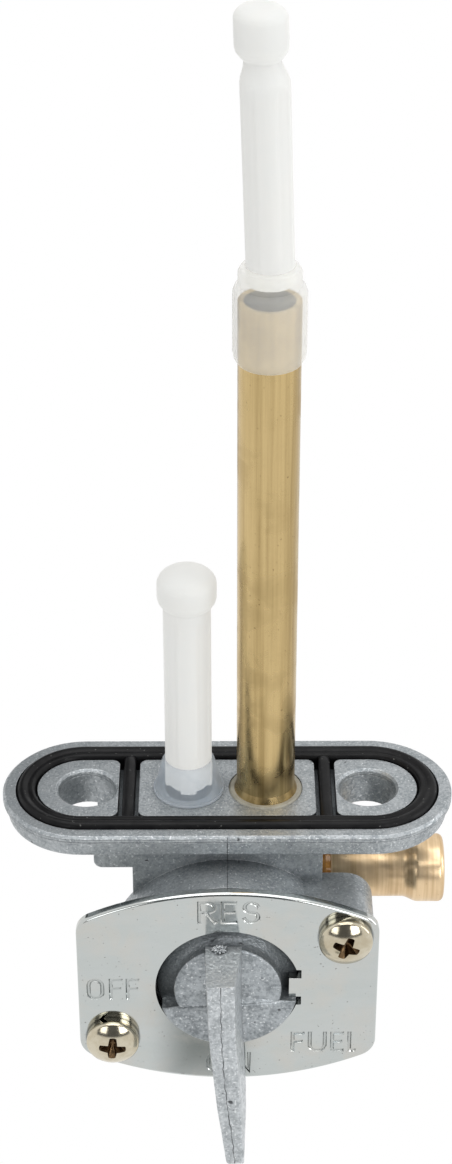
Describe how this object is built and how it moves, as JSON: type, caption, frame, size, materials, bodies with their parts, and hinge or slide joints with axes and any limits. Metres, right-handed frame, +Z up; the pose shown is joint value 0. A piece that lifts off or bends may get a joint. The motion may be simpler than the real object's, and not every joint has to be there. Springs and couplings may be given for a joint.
{
  "type": "fuel tap",
  "caption": "Gravity fuel tap with a bolted tank flange, seal, standpipe and reserve strainers, stamped face plate, turning lever and a side hose spigot.",
  "frame": {"origin": "centre of the flange's top face, midway between the two bolt holes", "axes": "+Z up into the tank, +X towards the hose spigot, the lever faces -Y"},
  "size_m": [0.0544, 0.0317, 0.1399],
  "materials": {
    "zinc_casting": "as cast, matt",
    "lever_casting": "as cast, matt",
    "plated_sheet": "satin",
    "black_rubber": "satin",
    "aged_brass": "dull, aged",
    "bright_brass": "turned",
    "cream_plastic": "satin",
    "clear_white_plastic": "translucent, satin",
    "nylon_gauze": "fine weave",
    "amber_sealant": "glossy",
    "steel_ball": "polished",
    "spring_steel": "satin",
    "yellow_plated_steel": "bright yellow plating"
  },
  "bodies": {
    "body": {"tap_body": "zinc_casting", "flange_seal": "black_rubber", "standpipe": "aged_brass", "standpipe_ferrule": "cream_plastic", "main_strainer_frame": "clear_white_plastic", "main_strainer_mesh": "nylon_gauze", "reserve_strainer_frame": "clear_white_plastic", "reserve_strainer_mesh": "nylon_gauze", "outlet_spigot": "bright_brass", "spigot_sealing_ring": "amber_sealant", "gallery_plug": "steel_ball", "valve_gasket": "black_rubber", "wave_washer": "spring_steel", "face_plate": "plated_sheet", "cover_screw_upper": "yellow_plated_steel", "cover_screw_lower": "yellow_plated_steel", "lock_washer_upper": "yellow_plated_steel", "lock_washer_lower": "yellow_plated_steel"},
    "lever": {"rotor_lever": "lever_casting", "rotor_o_ring": "black_rubber"}
  },
  "joints": [
    {"name": "lever_turn", "type": "hinge", "parent": "body", "child": "lever", "pos_m": [0, 0, -0.01965], "axis": [0, 1, 0], "range_deg": [0, 188]}
  ]
}
